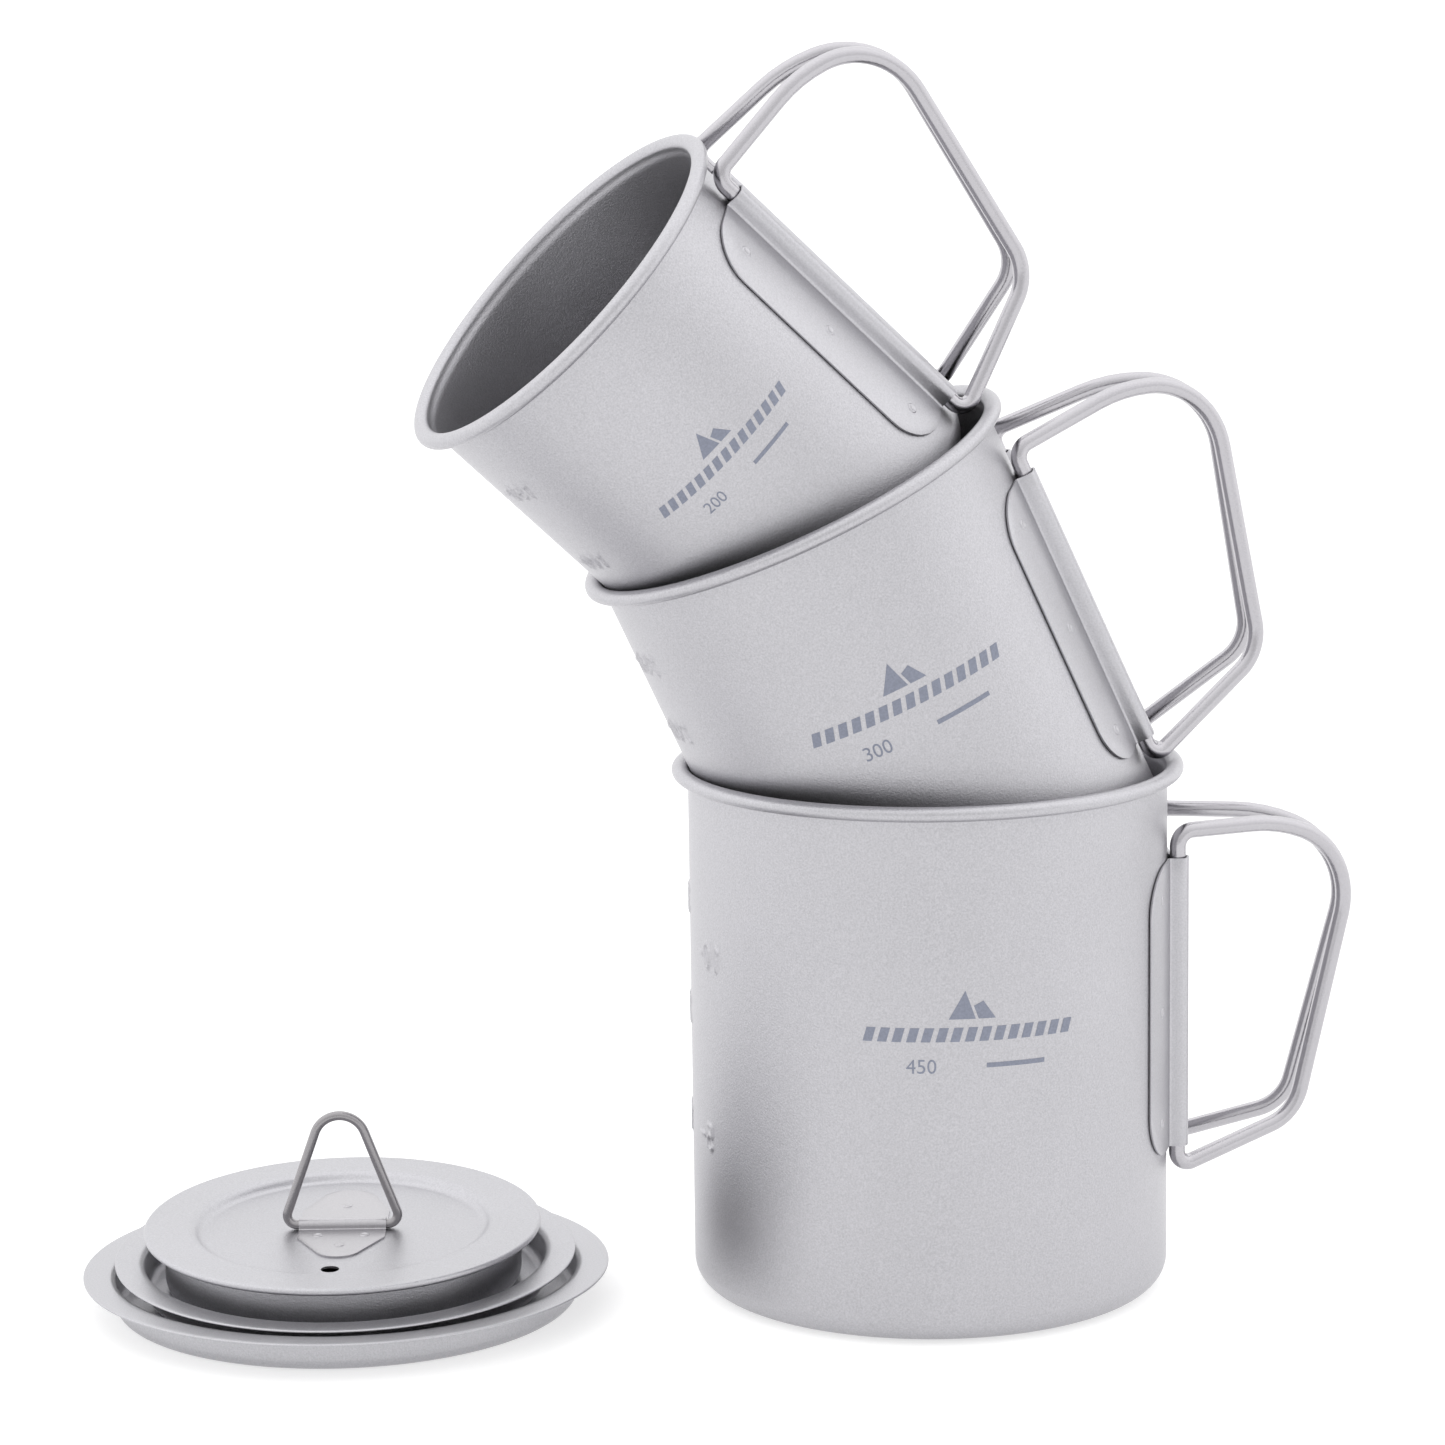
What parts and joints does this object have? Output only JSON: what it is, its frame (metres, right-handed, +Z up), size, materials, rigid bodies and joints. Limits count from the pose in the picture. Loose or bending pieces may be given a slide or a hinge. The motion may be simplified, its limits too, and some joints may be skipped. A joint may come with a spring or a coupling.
{
  "type": "cooking pot set",
  "caption": "Nesting metal camping cups with folding wire handles, stacked one in another beside their nested flat lids.",
  "frame": {"origin": "centre of the large cup's base, on the table", "axes": "+Z up along the large cup's axis, +X to the handles' side, -Y to the front"},
  "size_m": [0.2197, 0.0985, 0.2137],
  "materials": {
    "cup_titanium": "sandblasted, matte grey with a fine grain",
    "bracket_titanium": "sandblasted sheet, matte grey",
    "wire_titanium": "drawn wire, satin grey",
    "lid_titanium": "sandblasted, matte grey",
    "strap_titanium": "sandblasted thin sheet",
    "ring_titanium": "drawn wire, darker satin grey"
  },
  "bodies": {
    "large_cup": {"large_cup_shell": "cup_titanium", "large_cup_bracket": "bracket_titanium"},
    "large_front_wire": {"large_cup_front_wire": "wire_titanium"},
    "large_rear_wire": {"large_cup_rear_wire": "wire_titanium"},
    "medium_cup": {"medium_cup_shell": "cup_titanium", "medium_cup_bracket": "bracket_titanium"},
    "medium_front_wire": {"medium_cup_front_wire": "wire_titanium"},
    "medium_rear_wire": {"medium_cup_rear_wire": "wire_titanium"},
    "small_cup": {"small_cup_shell": "cup_titanium", "small_cup_bracket": "bracket_titanium"},
    "small_front_wire": {"small_cup_front_wire": "wire_titanium"},
    "small_rear_wire": {"small_cup_rear_wire": "wire_titanium"},
    "large_lid": {"large_lid_pan": "lid_titanium", "large_lid_strap": "strap_titanium"},
    "large_ring": {"large_lid_ring": "ring_titanium"},
    "medium_lid": {"medium_lid_pan": "lid_titanium", "medium_lid_strap": "strap_titanium"},
    "medium_ring": {"medium_lid_ring": "ring_titanium"},
    "small_lid": {"small_lid_disc": "lid_titanium", "small_lid_skirt": "lid_titanium", "small_lid_strap": "strap_titanium"},
    "small_ring": {"small_lid_ring": "ring_titanium"}
  },
  "joints": [
    {"name": "medium_cup_lift", "type": "slide", "parent": "large_cup", "child": "medium_cup", "axis": [-0.4049, -0.0941, 0.9095], "range_m": [0, 0.09]},
    {"name": "small_cup_lift", "type": "slide", "parent": "medium_cup", "child": "small_cup", "axis": [-0.691, -0.2198, 0.6886], "range_m": [0, 0.09]},
    {"name": "large_front_fold", "type": "hinge", "parent": "large_cup", "child": "large_front_wire", "pos_m": [0.04247, -0.00531, 0.0496], "axis": [0, 0, -1], "range_deg": [0, 109]},
    {"name": "large_rear_fold", "type": "hinge", "parent": "large_cup", "child": "large_rear_wire", "pos_m": [0.04019, 0.01473, 0.0496], "axis": [0, 0, 1], "range_deg": [0, 109]},
    {"name": "medium_front_fold", "type": "hinge", "parent": "medium_cup", "child": "medium_front_wire", "pos_m": [0.02645, -0.00712, 0.11871], "axis": [0.4049, 0.0941, -0.9095], "range_deg": [0, 110]},
    {"name": "medium_rear_fold", "type": "hinge", "parent": "medium_cup", "child": "medium_rear_wire", "pos_m": [0.02349, 0.01287, 0.11946], "axis": [-0.4049, -0.0941, 0.9095], "range_deg": [0, 110]},
    {"name": "small_front_fold", "type": "hinge", "parent": "small_cup", "child": "small_front_wire", "pos_m": [-0.01423, -0.0178, 0.17247], "axis": [0.691, 0.2198, -0.6886], "range_deg": [0, 112]},
    {"name": "small_rear_fold", "type": "hinge", "parent": "small_cup", "child": "small_rear_wire", "pos_m": [-0.01798, 0.00195, 0.17501], "axis": [-0.691, -0.2198, 0.6886], "range_deg": [0, 112]},
    {"name": "large_lid_lift", "type": "slide", "parent": "large_cup", "child": "large_lid", "axis": [0, 0, 1], "range_m": [0, 0.05]},
    {"name": "medium_lid_lift", "type": "slide", "parent": "large_lid", "child": "medium_lid", "axis": [0, 0, 1], "range_m": [0, 0.025]},
    {"name": "small_lid_lift", "type": "slide", "parent": "medium_lid", "child": "small_lid", "axis": [0, 0, 1], "range_m": [0, 0.025]},
    {"name": "large_ring_fold", "type": "hinge", "parent": "large_lid", "child": "large_ring", "pos_m": [-0.101, -0.0099, 0.00125], "axis": [1, 0, 0], "range_deg": [0, 3]},
    {"name": "medium_ring_fold", "type": "hinge", "parent": "medium_lid", "child": "medium_ring", "pos_m": [-0.1011, -0.00996, 0.00395], "axis": [1, 0, 0], "range_deg": [0, 12]},
    {"name": "small_ring_fold", "type": "hinge", "parent": "small_lid", "child": "small_ring", "pos_m": [-0.1015, -0.00987, 0.01335], "axis": [1, 0, 0], "range_deg": [-85, 85]}
  ]
}
